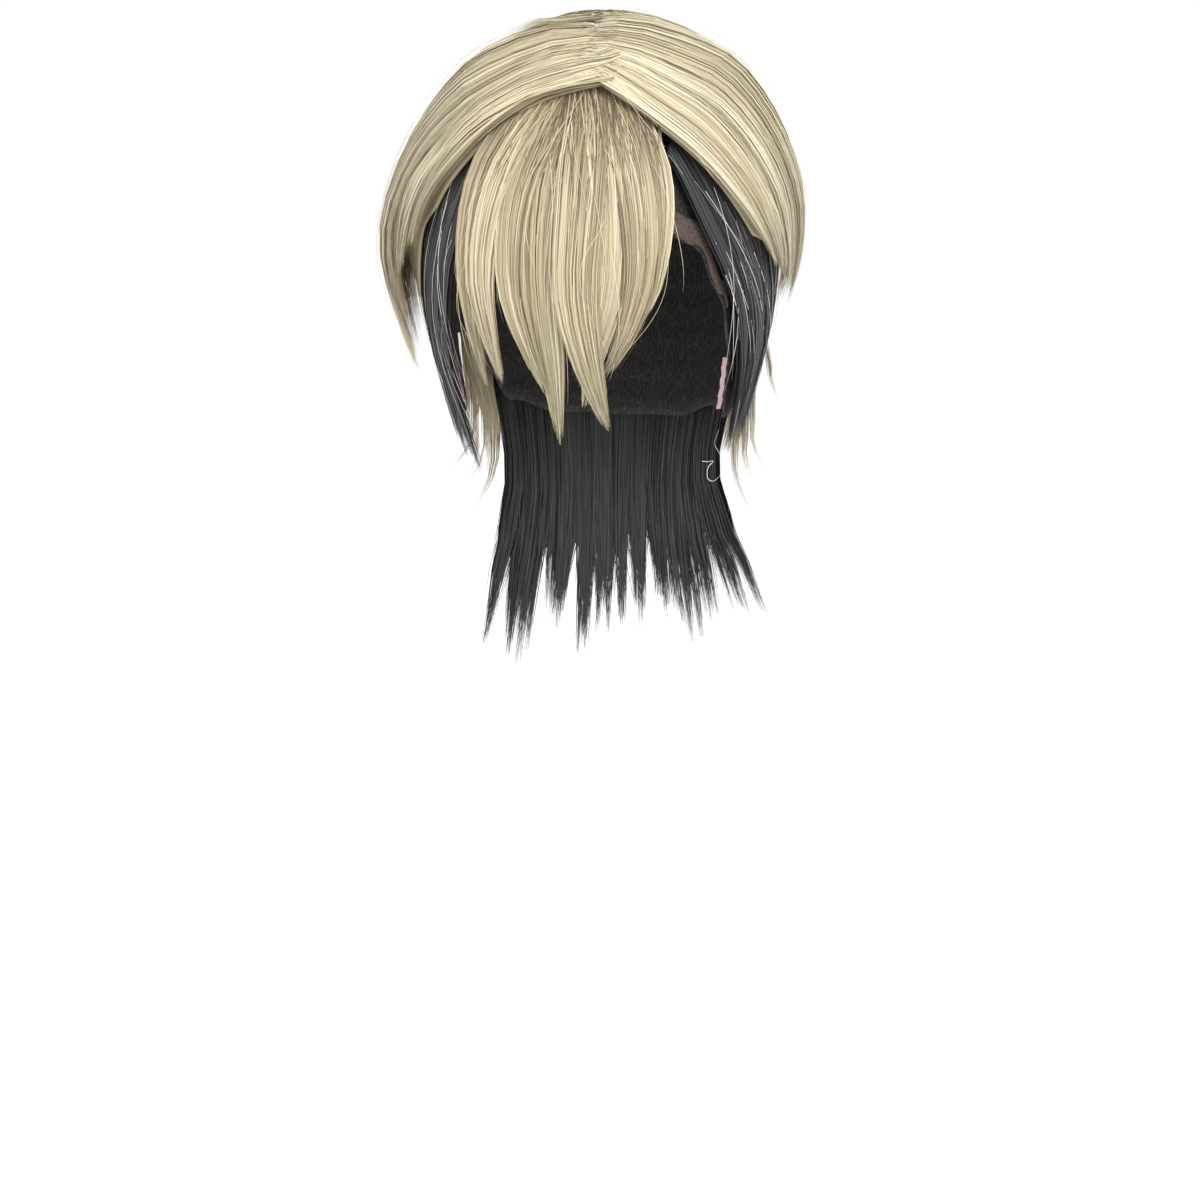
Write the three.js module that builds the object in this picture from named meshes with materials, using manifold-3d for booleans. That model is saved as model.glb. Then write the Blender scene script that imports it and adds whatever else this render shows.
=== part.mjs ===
// A layered two-tone wig in its worn form: a net cap, dark side layers, a pale crown, fringe and back, and
// a long dark nape. Millimetres, +Z up. The wearer faces -Y, so +X is the wearer's left. The origin is the
// crown of the head inside the cap.
import * as THREE from 'three';
import { mergeVertices } from 'three/addons/utils/BufferGeometryUtils.js';
import Module from 'manifold-3d';

const wasm = await Module();
wasm.setup();

// Head form that the cap is sewn to
const headHalfWidth = 75;
const headHalfDepth = 96;
const crownHeight = 100;
const neckLength = 140;
const neckNarrowing = 0.3;

// Cap and its trims
const capWall = 1.6;
const sewnGap = 0.6;
const bandThickness = 1.0;
const bandWidth = 10.5;
const bandHem = 0.7;
const bandReach = 60;
const trimThickness = 1.8;
const trimWidth = 4;
const trimGap = 2.5;

// Hair layers, counted outwards from the cap
const layerGap = 0.7;
const underDepth = 5.6;
const sheetDepth = 2.6;
const lockDepth = 7;
const lockWidth = 26;
const crownBulk = 15;
const crownSideBulkRight = 14;
const crownSideBulkLeft = 8;
const fringeLift = 7;
const backBulk = 6;
const napeFlare = 18;

// Parting: its place and width across the top, towards the wearer's left
const partingPlace = 3;
const partingWidth = 4.4;

// Form of a lock as shares of its full width and depth, which it reaches at rootEnd of its length
const lockForm = { rootEnd: 0.3, rootWidth: 0.55, rootDepth: 0.75, tipWidth: 0.07, tipDepth: 0.2 };
const widthTaper = 2.6;
const depthTaper = 3;

// Fineness of the faceted solids
const lockSides = 6;
const lockSections = 6;
const capSegments = 36;
const capRings = 6;

const bandFloor = capWall + sewnGap;
const underFloor = bandFloor + bandThickness + layerGap;
const underCeiling = underFloor + underDepth;
const topFloor = underCeiling + layerGap;

const paleBlond = new THREE.MeshStandardMaterial({ color: 0xcdbb8c, roughness: 0.45, metalness: 0 });
const softBlack = new THREE.MeshStandardMaterial({ color: 0x303033, roughness: 0.42, metalness: 0 });
const darkNet = new THREE.MeshStandardMaterial({ color: 0x2a2624, roughness: 0.85, metalness: 0 });
const brownLace = new THREE.MeshStandardMaterial({ color: 0x463a34, roughness: 0.8, metalness: 0 });
const palePink = new THREE.MeshStandardMaterial({ color: 0xdcaaaf, roughness: 0.7, metalness: 0 });

const wig = new THREE.Group();

const clampShare = (share) => Math.min(1, Math.max(0, share));
const ease = (share) => {
  const s = clampShare(share);
  return s * s * (3 - 2 * s);
};
const mix = (from, to, share) => from + (to - from) * share;

// The head form narrows below its widest level, towards the neck.
function narrowing(z) {
  return 1 - neckNarrowing * ease((-z - crownHeight) / neckLength);
}

// A point of the head form, lifted off it. Turn is in degrees from the front towards the wearer's left.
// Level is 1 at the crown, 0 where the head is widest, and -1 a crown height below that.
function onHead(turn, level, lift = 0) {
  const around = THREE.MathUtils.degToRad(turn);
  const z = level * crownHeight - crownHeight;
  const climb = Math.max(0, level) * Math.PI / 2;
  const share = level > 0 ? Math.cos(climb) : narrowing(z);
  const grow = level > 0 ? Math.cos(climb) : 1;
  return new THREE.Vector3(
    (headHalfWidth * share + lift * grow) * Math.sin(around),
    -(headHalfDepth * share + lift * grow) * Math.cos(around),
    level > 0 ? (crownHeight + lift) * Math.sin(climb) - crownHeight : z,
  );
}

// Turn and level of a place on top of the head, given in shares of its half width and half depth
function overTop([x, y]) {
  const turn = THREE.MathUtils.radToDeg(Math.atan2(x, -y));
  return [turn, Math.acos(Math.hypot(x, y)) / (Math.PI / 2)];
}

// Moves any point straight onto the surface that lies the given lift off the head form.
function settle(point, lift) {
  const above = Math.max(0, point.z + crownHeight);
  const share = above > 0 ? 1 : narrowing(point.z);
  const nominal = underCeiling;
  const aim = new THREE.Vector3(
    point.x / (headHalfWidth * share + nominal),
    point.y / (headHalfDepth * share + nominal),
    above / (crownHeight + nominal),
  ).normalize();
  return new THREE.Vector3(
    (headHalfWidth * share + lift) * aim.x,
    (headHalfDepth * share + lift) * aim.y,
    above > 0 ? (crownHeight + lift) * aim.z - crownHeight : point.z,
  );
}

function outwards(point) {
  const nearer = settle(point, 0);
  return settle(point, lockDepth).sub(nearer).normalize();
}

// A value read off an evenly spaced short list
function along(list, share) {
  const place = clampShare(share) * (list.length - 1);
  const from = Math.min(list.length - 2, Math.floor(place));
  return mix(list[from], list[from + 1], ease(place - from) * 0.5 + (place - from) * 0.5);
}

function pathOnHead(rows) {
  return new THREE.CatmullRomCurve3(rows.map(([turn, level]) => onHead(turn, level)), false, 'centripetal');
}

// Closed three.js geometry to a manifold-3d solid, and back
function solidFrom(geometry) {
  geometry.deleteAttribute('normal');
  geometry.deleteAttribute('uv');
  const merged = mergeVertices(geometry, 1e-4);
  return new wasm.Manifold(new wasm.Mesh({
    numProp: 3,
    vertProperties: merged.attributes.position.array,
    triVerts: new Uint32Array(merged.index.array),
  }));
}

// Joins solids into one, and fills the small sealed pockets that stay between crossing locks.
function fuse(solids) {
  const whole = solids.reduce((joined, solid) => joined.add(solid));
  return whole.decompose().filter((shell) => shell.volume() > 0).reduce((joined, shell) => joined.add(shell));
}

function addPiece(name, solid, material) {
  const mesh = solid.getMesh();
  const geometry = new THREE.BufferGeometry();
  geometry.setAttribute('position', new THREE.BufferAttribute(Float32Array.from(mesh.vertProperties), 3));
  geometry.setIndex(new THREE.BufferAttribute(Uint32Array.from(mesh.triVerts), 1));
  geometry.computeVertexNormals();
  const piece = new THREE.Mesh(geometry, material);
  piece.name = name;
  wig.add(piece);
  return piece;
}

function moveVertices(geometry, place) {
  const position = geometry.attributes.position;
  const vertex = new THREE.Vector3();
  for (let i = 0; i < position.count; i += 1) {
    vertex.fromBufferAttribute(position, i);
    const moved = place(vertex);
    position.setXYZ(i, moved.x, moved.y, moved.z);
  }
  return geometry;
}

// A lock: a cylinder bent along its path, flattened against the head and drawn out to a pointed tip.
// lift holds its middle's height off the head form, evenly spaced from root to tip.
function lock({ path, lift, width = 1, depth = 1, sections = lockSections }) {
  const curve = pathOnHead(path);
  const geometry = new THREE.CylinderGeometry(1, 1, 1, lockSides, sections);
  return solidFrom(moveVertices(geometry, (vertex) => {
    const share = vertex.y + 0.5;
    const centre = curve.getPointAt(share);
    const normal = outwards(centre);
    const side = curve.getTangentAt(share).cross(normal).normalize();
    const opened = ease(share / lockForm.rootEnd);
    const narrowed = mix(1, lockForm.tipWidth, Math.pow(share, widthTaper));
    const thinned = mix(1, lockForm.tipDepth, Math.pow(share, depthTaper));
    const spread = mix(lockForm.rootWidth, 1, opened) * narrowed;
    const round = mix(lockForm.rootDepth, 1, opened) * thinned;
    const across = vertex.x * lockWidth * width * spread / 2;
    const out = vertex.z * lockDepth * depth * round / 2;
    return settle(centre.addScaledVector(side, across), along(lift, share) + out);
  }));
}

// A sheet of hair or net between rows that run across it, from its root row to its lowest row.
// lift(across, down) gives its inner and outer height off the head form.
function sheet({ rows, lift, columns = 8, steps = 6 }) {
  const curves = rows.map(pathOnHead);
  const geometry = new THREE.BoxGeometry(1, 1, 1, columns, steps, 1);
  return solidFrom(moveVertices(geometry, (vertex) => {
    const across = vertex.x + 0.5;
    const down = 0.5 - vertex.y;
    const knots = curves.map((curve) => curve.getPoint(across));
    const column = new THREE.CatmullRomCurve3(knots, false, 'centripetal');
    const { inner, outer } = lift(across, down);
    return settle(column.getPoint(down), vertex.z > 0 ? outer : inner);
  }));
}

// Cap: the level of its edge, front to nape, the same on both sides
const capEdge = [
  { turn: 0, level: 0.16 },
  { turn: 30, level: 0.15 },
  { turn: 46, level: 0.09 },
  { turn: 57, level: -0.1 },
  { turn: 67, level: -0.4 },
  { turn: 74, level: -0.74 },
  { turn: 84, level: -0.74 },
  { turn: 94, level: -0.42 },
  { turn: 106, level: -0.45 },
  { turn: 124, level: -0.82 },
  { turn: 150, level: -0.92 },
  { turn: 180, level: -0.94 },
];

function capEdgeLevel(turn) {
  const apart = Math.abs(((turn + 540) % 360) - 180);
  const last = capEdge.findIndex((row) => row.turn >= apart);
  if (last <= 0) return capEdge[0].level;
  const from = capEdge[last - 1];
  const to = capEdge[last];
  return mix(from.level, to.level, ease((apart - from.turn) / (to.turn - from.turn)));
}

function makeCap() {
  const profile = [];
  for (let ring = 0; ring <= capRings; ring += 1) profile.push(new THREE.Vector2(ring / capRings, 0));
  for (let ring = capRings; ring >= 0; ring -= 1) profile.push(new THREE.Vector2(ring / capRings, 1));
  const plate = new THREE.LatheGeometry(profile, capSegments);
  return solidFrom(moveVertices(plate, (vertex) => {
    const turn = THREE.MathUtils.radToDeg(Math.atan2(vertex.x, vertex.z));
    const level = mix(1, capEdgeLevel(turn), Math.hypot(vertex.x, vertex.z));
    return settle(onHead(turn, level), vertex.y * capWall);
  }));
}

// Band: a strip that follows the cap's front edge from temple to temple
function makeHairlineBand() {
  const climbPerLevel = crownHeight * Math.PI / 2;
  const hem = bandHem / climbPerLevel;
  const knots = 20;
  const rowAt = (rise) => {
    const row = [];
    for (let knot = 0; knot <= knots; knot += 1) {
      const turn = mix(-bandReach, bandReach, knot / knots);
      row.push([turn, capEdgeLevel(turn) + rise]);
    }
    return row;
  };
  return sheet({
    rows: [rowAt(hem + bandWidth / climbPerLevel), rowAt(hem)],
    columns: 20,
    steps: 1,
    lift: () => ({ inner: bandFloor, outer: bandFloor + bandThickness }),
  });
}

// Trim: a soft strip in front of the ear tab's edge. side is 1 on the wearer's left and -1 on the right.
function makeEarTabTrim(side) {
  const levels = [-0.42, -0.55, -0.68];
  const turnWidth = THREE.MathUtils.radToDeg(trimWidth / headHalfWidth);
  const turnGap = THREE.MathUtils.radToDeg(trimGap / headHalfWidth);
  const tabFront = (level) => {
    let turn = 60;
    while (capEdgeLevel(turn) > level) turn += 0.1;
    return turn;
  };
  const rows = levels.map((level) => {
    const back = tabFront(level) - turnGap;
    return side > 0
      ? [[back - turnWidth, level], [back, level]]
      : [[-back, level], [turnWidth - back, level]];
  });
  return sheet({ rows, columns: 1, steps: 4, lift: () => ({ inner: 0, outer: trimThickness }) });
}

// Dark side layers: the wearer's right one comes further over the cheek than the left one
const sideLocksLeft = [
  { path: [[38, 0.38], [49, 0.17], [62, -0.1], [72, -0.5], [74, -0.93]], width: 0.85 },
  { path: [[44, 0.45], [60, 0.2], [74, -0.12], [83, -0.5], [82, -0.9]], width: 0.95 },
  { path: [[56, 0.47], [73, 0.2], [85, -0.12], [92, -0.48], [90, -0.84]], width: 0.95 },
  { path: [[72, 0.48], [85, 0.2], [95, -0.12], [99, -0.46], [99, -0.78]], width: 0.95 },
];
const sideLocksRight = [
  { path: [[-38, 0.38], [-45, 0.17], [-53, -0.1], [-58, -0.5], [-52, -0.93]], width: 0.85 },
  { path: [[-44, 0.45], [-58, 0.2], [-70, -0.12], [-75, -0.5], [-67, -0.9]], width: 0.95 },
  { path: [[-56, 0.47], [-72, 0.2], [-83, -0.12], [-88, -0.48], [-84, -0.84]], width: 0.95 },
  { path: [[-72, 0.48], [-85, 0.2], [-95, -0.12], [-99, -0.46], [-97, -0.78]], width: 0.95 },
];

function mirrored(rows, side) {
  const turned = rows.map(([turn, level]) => [turn * side, level]);
  return side > 0 ? turned : turned.reverse();
}

function makeSideLayer(side, locks) {
  const middle = (underFloor + underCeiling) / 2;
  const strands = locks.map((row) => lock({
    ...row,
    lift: [middle, middle, middle + 0.6, middle],
    depth: underDepth / lockDepth,
  }));
  const backing = sheet({
    rows: [
      mirrored([[37, 0.44], [60, 0.5], [98, 0.5]], side),
      mirrored([[58, 0.02], [76, 0], [102, 0]], side),
      mirrored([[72, -0.62], [86, -0.66], [102, -0.6]], side),
    ],
    columns: 5,
    steps: 6,
    lift: () => ({ inner: underFloor, outer: underFloor + sheetDepth }),
  });
  return fuse([backing, ...strands]);
}

// Pale crown: every lock starts at the parting. lift is in shares of crownBulk.
const crownLocksRight = [
  {
    path: [[1, 0.575], [-21, 0.48], [-42, 0.31], [-54, 0.17], [-60, 0.04]],
    lift: [1, 1.08, 1.1, 1.1],
    width: 0.9,
  },
  {
    path: [[3, 0.625], [-18, 0.56], [-42, 0.41], [-57, 0.24], [-66, 0.04], [-67, -0.14]],
    lift: [0.7, 1.05, 1.35, 1.35],
    width: 1.15,
  },
  {
    path: [[7, 0.64], [-24, 0.6], [-50, 0.44], [-66, 0.25], [-72, 0], [-69, -0.24], [-62, -0.48]],
    lift: [0.55, 1.1, 1.6, 1.2],
    width: 1.1,
  },
  {
    path: [[5, 0.69], [-34, 0.66], [-65, 0.48], [-78, 0.25], [-82, 0], [-78, -0.3], [-70, -0.56]],
    lift: [0.53, 1.2, 1.85, 1.2],
    width: 1.1,
  },
  {
    path: [[0, 0.77], [-60, 0.72], [-84, 0.48], [-92, 0.22], [-92, -0.05], [-88, -0.34], [-80, -0.6]],
    lift: [0.53, 1.25, 1.95, 1.25],
    width: 1.15,
  },
  {
    path: [[-40, 0.9], [-88, 0.74], [-101, 0.48], [-105, 0.2], [-104, -0.08], [-99, -0.36], [-92, -0.62]],
    lift: [0.53, 1.15, 1.9, 1.25],
    width: 1.15,
  },
  {
    path: [[-140, 0.93], [-122, 0.76], [-119, 0.48], [-118, 0.2], [-116, -0.1], [-112, -0.36], [-107, -0.6]],
    lift: [0.82, 1.05, 1.3, 1.1],
    width: 1.15,
  },
  {
    path: [[-172, 0.96], [-60, 0.93], [-30, 0.86]],
    lift: [0.6, 0.92, 1.02, 0.75],
    width: 0.5,
    depth: 0.6,
  },
];
const crownLocksLeft = [
  {
    path: [[9, 0.58], [29, 0.45], [49, 0.285], [64, 0.11], [76, -0.03]],
    lift: [0.95, 1.1, 1.08, 1],
    width: 0.85,
  },
  {
    path: [[12, 0.63], [36, 0.55], [56, 0.4], [68, 0.22], [78, 0.03], [86, -0.14]],
    lift: [0.7, 1, 1.12, 1],
    width: 1.1,
  },
  {
    path: [[11, 0.66], [46, 0.61], [68, 0.46], [78, 0.27], [85, 0.05], [89, -0.22]],
    lift: [0.6, 1.15, 1.3, 1],
    width: 1.1,
  },
  {
    path: [[15, 0.73], [58, 0.68], [80, 0.48], [88, 0.25], [93, 0], [97, -0.28]],
    lift: [0.6, 1.4, 1.45, 1.05],
    width: 1.1,
  },
  {
    path: [[30, 0.86], [78, 0.72], [95, 0.48], [101, 0.22], [104, -0.05], [106, -0.35]],
    lift: [0.6, 1.4, 1.45, 1.05],
    width: 1.15,
  },
  {
    path: [[134, 0.93], [118, 0.76], [115, 0.48], [115, 0.2], [116, -0.1], [117, -0.4]],
    lift: [0.82, 1.2, 1.3, 1.05],
    width: 1.15,
  },
];

function makeCrownLayer(side, locks, sideBulk) {
  const strands = locks.map((row) => lock({
    ...row,
    lift: row.lift.map((share) => share * crownBulk),
  }));
  const part = [[0.55, -0.54], [0.5, -0.2], [0.45, 0.1], [0.5, 0.34]].map(([off, y]) => overTop([
    (partingPlace + side * off * partingWidth) / headHalfWidth,
    y,
  ]));
  const shoulder = [[60 * side, 0.4], [80 * side, 0.42], [100 * side, 0.44], [118 * side, 0.46]];
  const hem = [[66 * side, 0.06], [82 * side, -0.12], [100 * side, -0.2], [115 * side, -0.2]];
  const rows = [part, shoulder, hem].map((row) => (side > 0 ? row : row.reverse()));
  const backing = sheet({
    rows,
    lift: (across, down) => {
      const belly = sideBulk * ease(down / 0.8) * Math.sin(Math.PI * mix(0.12, 0.88, across));
      const rear = side > 0 ? across : 1 - across;
      const raised = Math.max(ease(down / 0.3), ease((rear - 0.5) / 0.3));
      const inner = mix(underFloor, topFloor, raised) + belly * 0.4;
      return { inner, outer: inner + sheetDepth + belly * 0.35 };
    },
  });
  return fuse([backing, ...strands]);
}

// Fringe: locks that hang from under the front of the parting. lift is in shares of fringeLift.
const fringeLocks = [
  {
    path: [[-9, 0.53], [-24, 0.42], [-30.5, 0.25], [-31, 0.05], [-30, -0.2], [-28.5, -0.5]],
    lift: [0.45, 1.25, 1.5, 1.35],
    width: 0.72,
  },
  {
    path: [[-7, 0.54], [-20, 0.42], [-26, 0.25], [-27, 0.05], [-25, -0.2], [-22, -0.47]],
    lift: [0.45, 1.2, 1.7, 1.5],
    width: 0.72,
  },
  {
    path: [[-5, 0.54], [-12, 0.41], [-17, 0.22], [-16, 0], [-12, -0.25], [-6, -0.52]],
    lift: [0.45, 1.25, 1.8, 1.65],
    width: 0.6,
  },
  {
    path: [[-1, 0.54], [-4, 0.4], [-7, 0.22], [-7, 0], [-5, -0.35], [-4, -0.75]],
    lift: [0.45, 1.15, 1.4, 1.3],
    width: 0.66,
  },
  {
    path: [[3, 0.54], [5, 0.4], [4, 0.22], [3, 0], [6, -0.3], [13, -0.67]],
    lift: [0.45, 1.35, 2.1, 1.9],
    width: 0.8,
  },
  {
    path: [[6, 0.54], [12, 0.41], [14, 0.22], [13, 0], [9, -0.25], [5, -0.56]],
    lift: [0.45, 1.2, 1.6, 1.55],
    width: 0.72,
  },
  {
    path: [[9, 0.54], [17, 0.42], [22, 0.25], [22, 0.05], [18, -0.18], [11, -0.42]],
    lift: [0.45, 1.2, 1.75, 1.65],
    width: 0.76,
  },
  {
    path: [[12, 0.54], [23, 0.42], [28, 0.29], [27, 0.13], [24, -0.04], [18, -0.22]],
    lift: [0.45, 0.95, 1.5, 1.5],
    width: 0.6,
  },
];

function makeFringe() {
  const strands = fringeLocks.map((row) => lock({
    ...row,
    lift: row.lift.map((share) => underFloor + share * fringeLift),
    depth: 0.8,
  }));
  const root = sheet({
    rows: [
      [[-12, 0.535], [0, 0.545], [13, 0.535]],
      [[-26, 0.4], [0, 0.4], [27, 0.4]],
      [[-31, 0.26], [0, 0.22], [30, 0.26]],
    ],
    columns: 6,
    steps: 3,
    lift: (across, down) => {
      const inner = underFloor + fringeLift * 0.85 * ease(down / 0.8);
      return { inner, outer: inner + sheetDepth };
    },
  });
  return fuse([root, ...strands]);
}

// Back: a loop of locks that fan down from the crown, and flipped ends at both sides of the neck.
// A flipped end's lift is in shares of backBulk.
const backLockCount = 7;
const backSpread = 64;
const backLockForm = { width: 1.6, depth: 0.84 };
const backRootLift = 2.5;
const backSheetLift = 0.8;
const backSheetDepth = 3.2;
const flippedEnds = [
  {
    path: [[110, -0.5], [112, -0.85], [113, -1.04], [109, -1.16]],
    lift: [0, 0.9, 2.2, 3.6],
    width: 0.5,
  },
  {
    path: [[115, -0.5], [116, -0.9], [117, -1.13], [113, -1.28]],
    lift: [0, 0.9, 2.1, 3.4],
    width: 0.5,
  },
  {
    path: [[120, -0.5], [122, -0.9], [121, -1.2], [117, -1.4]],
    lift: [0, 1, 2.1, 3.1],
    width: 0.5,
  },
];

function makeBackLayer() {
  const floor = underFloor + backLockForm.depth * lockDepth / 2;
  const locks = [];
  for (let index = 0; index < backLockCount; index += 1) {
    const side = (index / (backLockCount - 1)) * 2 - 1;
    const middle = 1 - Math.pow(Math.abs(side), 4);
    const swell = backBulk * middle;
    locks.push(lock({
      path: [
        [180 + side * (50 + 8 * Math.abs(side)), 0.86 - 0.26 * side * side],
        [180 + side * 61, 0.5],
        [180 + side * backSpread, 0.2],
        [180 + side * backSpread, -0.2],
        [180 + side * backSpread, -0.7],
        [180 + side * (backSpread - 4), -1.12 - 0.14 * (index % 2) + 0.12 * middle],
      ],
      lift: [underFloor + backRootLift, ...[0.4, 1, 1.2, 1.25, 2].map((share) => floor + share * swell)],
      ...backLockForm,
      sections: 5,
    }));
  }
  for (const side of [1, -1]) {
    for (const row of flippedEnds) {
      locks.push(lock({
        path: row.path.map(([turn, level]) => [turn * side, level]),
        lift: row.lift.map((share) => floor + share * backBulk),
        width: row.width,
        depth: 0.7,
        sections: 4,
      }));
    }
  }
  const backing = sheet({
    rows: [
      [[121, 0.58], [150, 0.8], [180, 0.88], [210, 0.8], [239, 0.58]],
      [[119, 0.3], [180, 0.4], [241, 0.3]],
    ],
    columns: 8,
    steps: 3,
    lift: (across, down) => {
      const middle = 1 - Math.pow(Math.abs(across * 2 - 1), 4);
      const inner = underFloor + backSheetLift + sheetDepth * middle * down;
      return { inner, outer: inner + backSheetDepth };
    },
  });
  return fuse([backing, ...locks]);
}

// Nape: long dark locks that hang behind the neck, fuller at both sides. tip is in shares of crownHeight.
const napeLocks = [
  { turn: -128, tip: -2.2, sway: 2, flare: 1.2, width: 0.66 },
  { turn: -138, tip: -2.3, sway: 4, flare: 0.95, width: 0.74 },
  { turn: -150, tip: -2.2, sway: 4, flare: 0.6, width: 0.8 },
  { turn: -162, tip: -2.26, sway: 3, flare: 0.42, width: 0.84 },
  { turn: -174, tip: -2.18, sway: 2, flare: 0.36, width: 0.84 },
  { turn: 174, tip: -2.24, sway: -2, flare: 0.36, width: 0.84 },
  { turn: 162, tip: -2.15, sway: -3, flare: 0.42, width: 0.84 },
  { turn: 150, tip: -2.2, sway: -5, flare: 0.6, width: 0.8 },
  { turn: 140, tip: -2.1, sway: -10, flare: 1.15, width: 0.74 },
  { turn: 130, tip: -2.03, sway: -15, flare: 1.75, width: 0.66 },
];

function makeNapeCurtain() {
  const middle = (underFloor + underCeiling) / 2;
  const locks = napeLocks.map((row) => lock({
    path: [
      [row.turn, -0.8],
      [row.turn, -1.1],
      [row.turn, -1.45],
      [row.turn + row.sway * 0.5, -1.9],
      [row.turn + row.sway, row.tip],
    ],
    lift: [0, 0, 0.3, 0.7, 1].map((share) => middle + share * row.flare * napeFlare),
    width: row.width,
    depth: underDepth / lockDepth,
    sections: 5,
  }));
  const backing = sheet({
    rows: [
      [[134, -0.78], [180, -0.74], [226, -0.78]],
      [[131, -1.15], [180, -1.15], [229, -1.15]],
      [[131, -1.55], [180, -1.6], [229, -1.55]],
    ],
    columns: 8,
    steps: 3,
    lift: (across, down) => {
      const rim = Math.pow(Math.abs(across * 2 - 1), 2);
      const out = napeFlare * 0.4 * ease(down * 2 - 1) * (0.4 + 0.6 * rim);
      const inner = mix(bandFloor, underFloor, ease(down * 3)) + out;
      return { inner, outer: underFloor + out + sheetDepth };
    },
  });
  return fuse([backing, ...locks]);
}

addPiece('wig_cap', makeCap(), darkNet);
addPiece('hairline_band', makeHairlineBand(), brownLace);
addPiece('ear_tab_trim_left', makeEarTabTrim(1), palePink);
addPiece('ear_tab_trim_right', makeEarTabTrim(-1), palePink);
addPiece('side_layer_left', makeSideLayer(1, sideLocksLeft), softBlack);
addPiece('side_layer_right', makeSideLayer(-1, sideLocksRight), softBlack);
addPiece('fringe', makeFringe(), paleBlond);
addPiece('crown_layer_left', makeCrownLayer(1, crownLocksLeft, crownSideBulkLeft), paleBlond);
addPiece('crown_layer_right', makeCrownLayer(-1, crownLocksRight, crownSideBulkRight), paleBlond);
addPiece('back_layer', makeBackLayer(), paleBlond);
addPiece('nape_curtain', makeNapeCurtain(), softBlack);

export default wig;
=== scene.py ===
import math

import bmesh
import bpy
import numpy as np
from mathutils import Euler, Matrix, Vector


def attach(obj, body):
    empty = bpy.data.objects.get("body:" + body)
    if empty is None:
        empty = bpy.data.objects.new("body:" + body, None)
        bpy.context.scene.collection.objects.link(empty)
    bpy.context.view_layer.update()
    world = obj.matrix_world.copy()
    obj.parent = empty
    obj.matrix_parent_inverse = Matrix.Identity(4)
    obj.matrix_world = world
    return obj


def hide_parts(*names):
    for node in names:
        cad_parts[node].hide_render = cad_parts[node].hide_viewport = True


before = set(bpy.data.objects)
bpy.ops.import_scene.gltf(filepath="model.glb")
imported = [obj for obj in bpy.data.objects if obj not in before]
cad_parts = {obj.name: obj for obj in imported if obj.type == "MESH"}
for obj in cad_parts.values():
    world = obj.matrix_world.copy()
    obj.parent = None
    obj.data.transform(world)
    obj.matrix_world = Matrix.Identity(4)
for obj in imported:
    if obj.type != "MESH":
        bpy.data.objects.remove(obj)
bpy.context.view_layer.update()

bl_info = {
    "name": "Layered Two-Tone Wig",
    "version": (1, 0, 0),
    "blender": (4, 5, 0),
    "location": "3D View > Sidebar > Wig",
    "description": "Makes the strands, underlays, cap, band and trims of a layered two-tone wig",
    "category": "Add Mesh",
}

# Head form that the cap is sewn to
HEAD_HALF_WIDTH = 0.075
HEAD_HALF_DEPTH = 0.096
CROWN_HEIGHT = 0.100
NECK_LENGTH = 0.140
NECK_NARROWING = 0.3

# Layers, counted outwards from the head form
CAP_WALL = 0.0016
BAND_FLOOR = 0.0022
UNDER_FLOOR = 0.0039
UNDER_CEILING = 0.0095
TOP_FLOOR = 0.0102
LOCK_DEPTH = 0.007
LOCK_WIDTH = 0.026
THIN_EDGE = 0.0012
CROWN_BULK = 0.015
FRINGE_LIFT = 0.007
BACK_BULK = 0.006
NAPE_FLARE = 0.018

# Fineness
GUIDE_STEPS = 60
STRAY_KNOTS = 14
STRAY_CURL = 0.003
CURL_KNOTS = 40

# A lock's width at its root and tip in shares of its full width, which it has from ROOT_END on
ROOT_END = 0.3
ROOT_WIDTH = 0.55
TIP_WIDTH = 0.07
WIDTH_TAPER = 2.6

# How a layer's fibres are combed, unless the layer says otherwise. ragged, lock_ragged and fray shorten
# clumps, locks and fibres by up to that share. gather and lock_pull draw them to the middle of their clump
# and lock. bulge, wander and cross are metres, and width is in shares of the strand width. shade is the
# painted shade at the roots: how much darker they are painted, and how far down.
COMBED = {
    "knots": 9, "locks": 0, "width": 1.0, "ragged": 0.12, "lock_ragged": 0.15, "fray": 0.12,
    "gather": 0.8, "gather_from": 0.5, "lock_pull": 0.45, "bulge": 0.0006, "wander": 0.00028, "sway": 0.10,
    "cross": (0.0, 0.0), "cross_reach": 0.18,
    "tone": 0.5, "tone_spread": 0.12, "clump_tone": 0.05, "shade": (0.10, 0.12),
}
# The last knots of a short fibre follow each other this closely, in shares of the guide
TIP_STEP = 0.012
# A few wild fibres stand out of their clump: their share, wander factor, rise in metres, width factor
WILD_SHARE = 0.02
WILD_WANDER = 4.0
WILD_RISE = 0.0012
WILD_WIDTH = 0.45

# Share of a lock's length in which it sweeps out of the parting
ROOT_REACH = 0.24

# Cap edge: turn from the front in degrees, and level; the same on both sides
CAP_EDGE = np.array([
    (0, 0.16), (30, 0.15), (46, 0.09), (57, -0.1), (67, -0.4), (74, -0.74), (84, -0.74), (94, -0.42),
    (106, -0.45), (124, -0.82), (150, -0.92), (180, -0.94),
])

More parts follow.
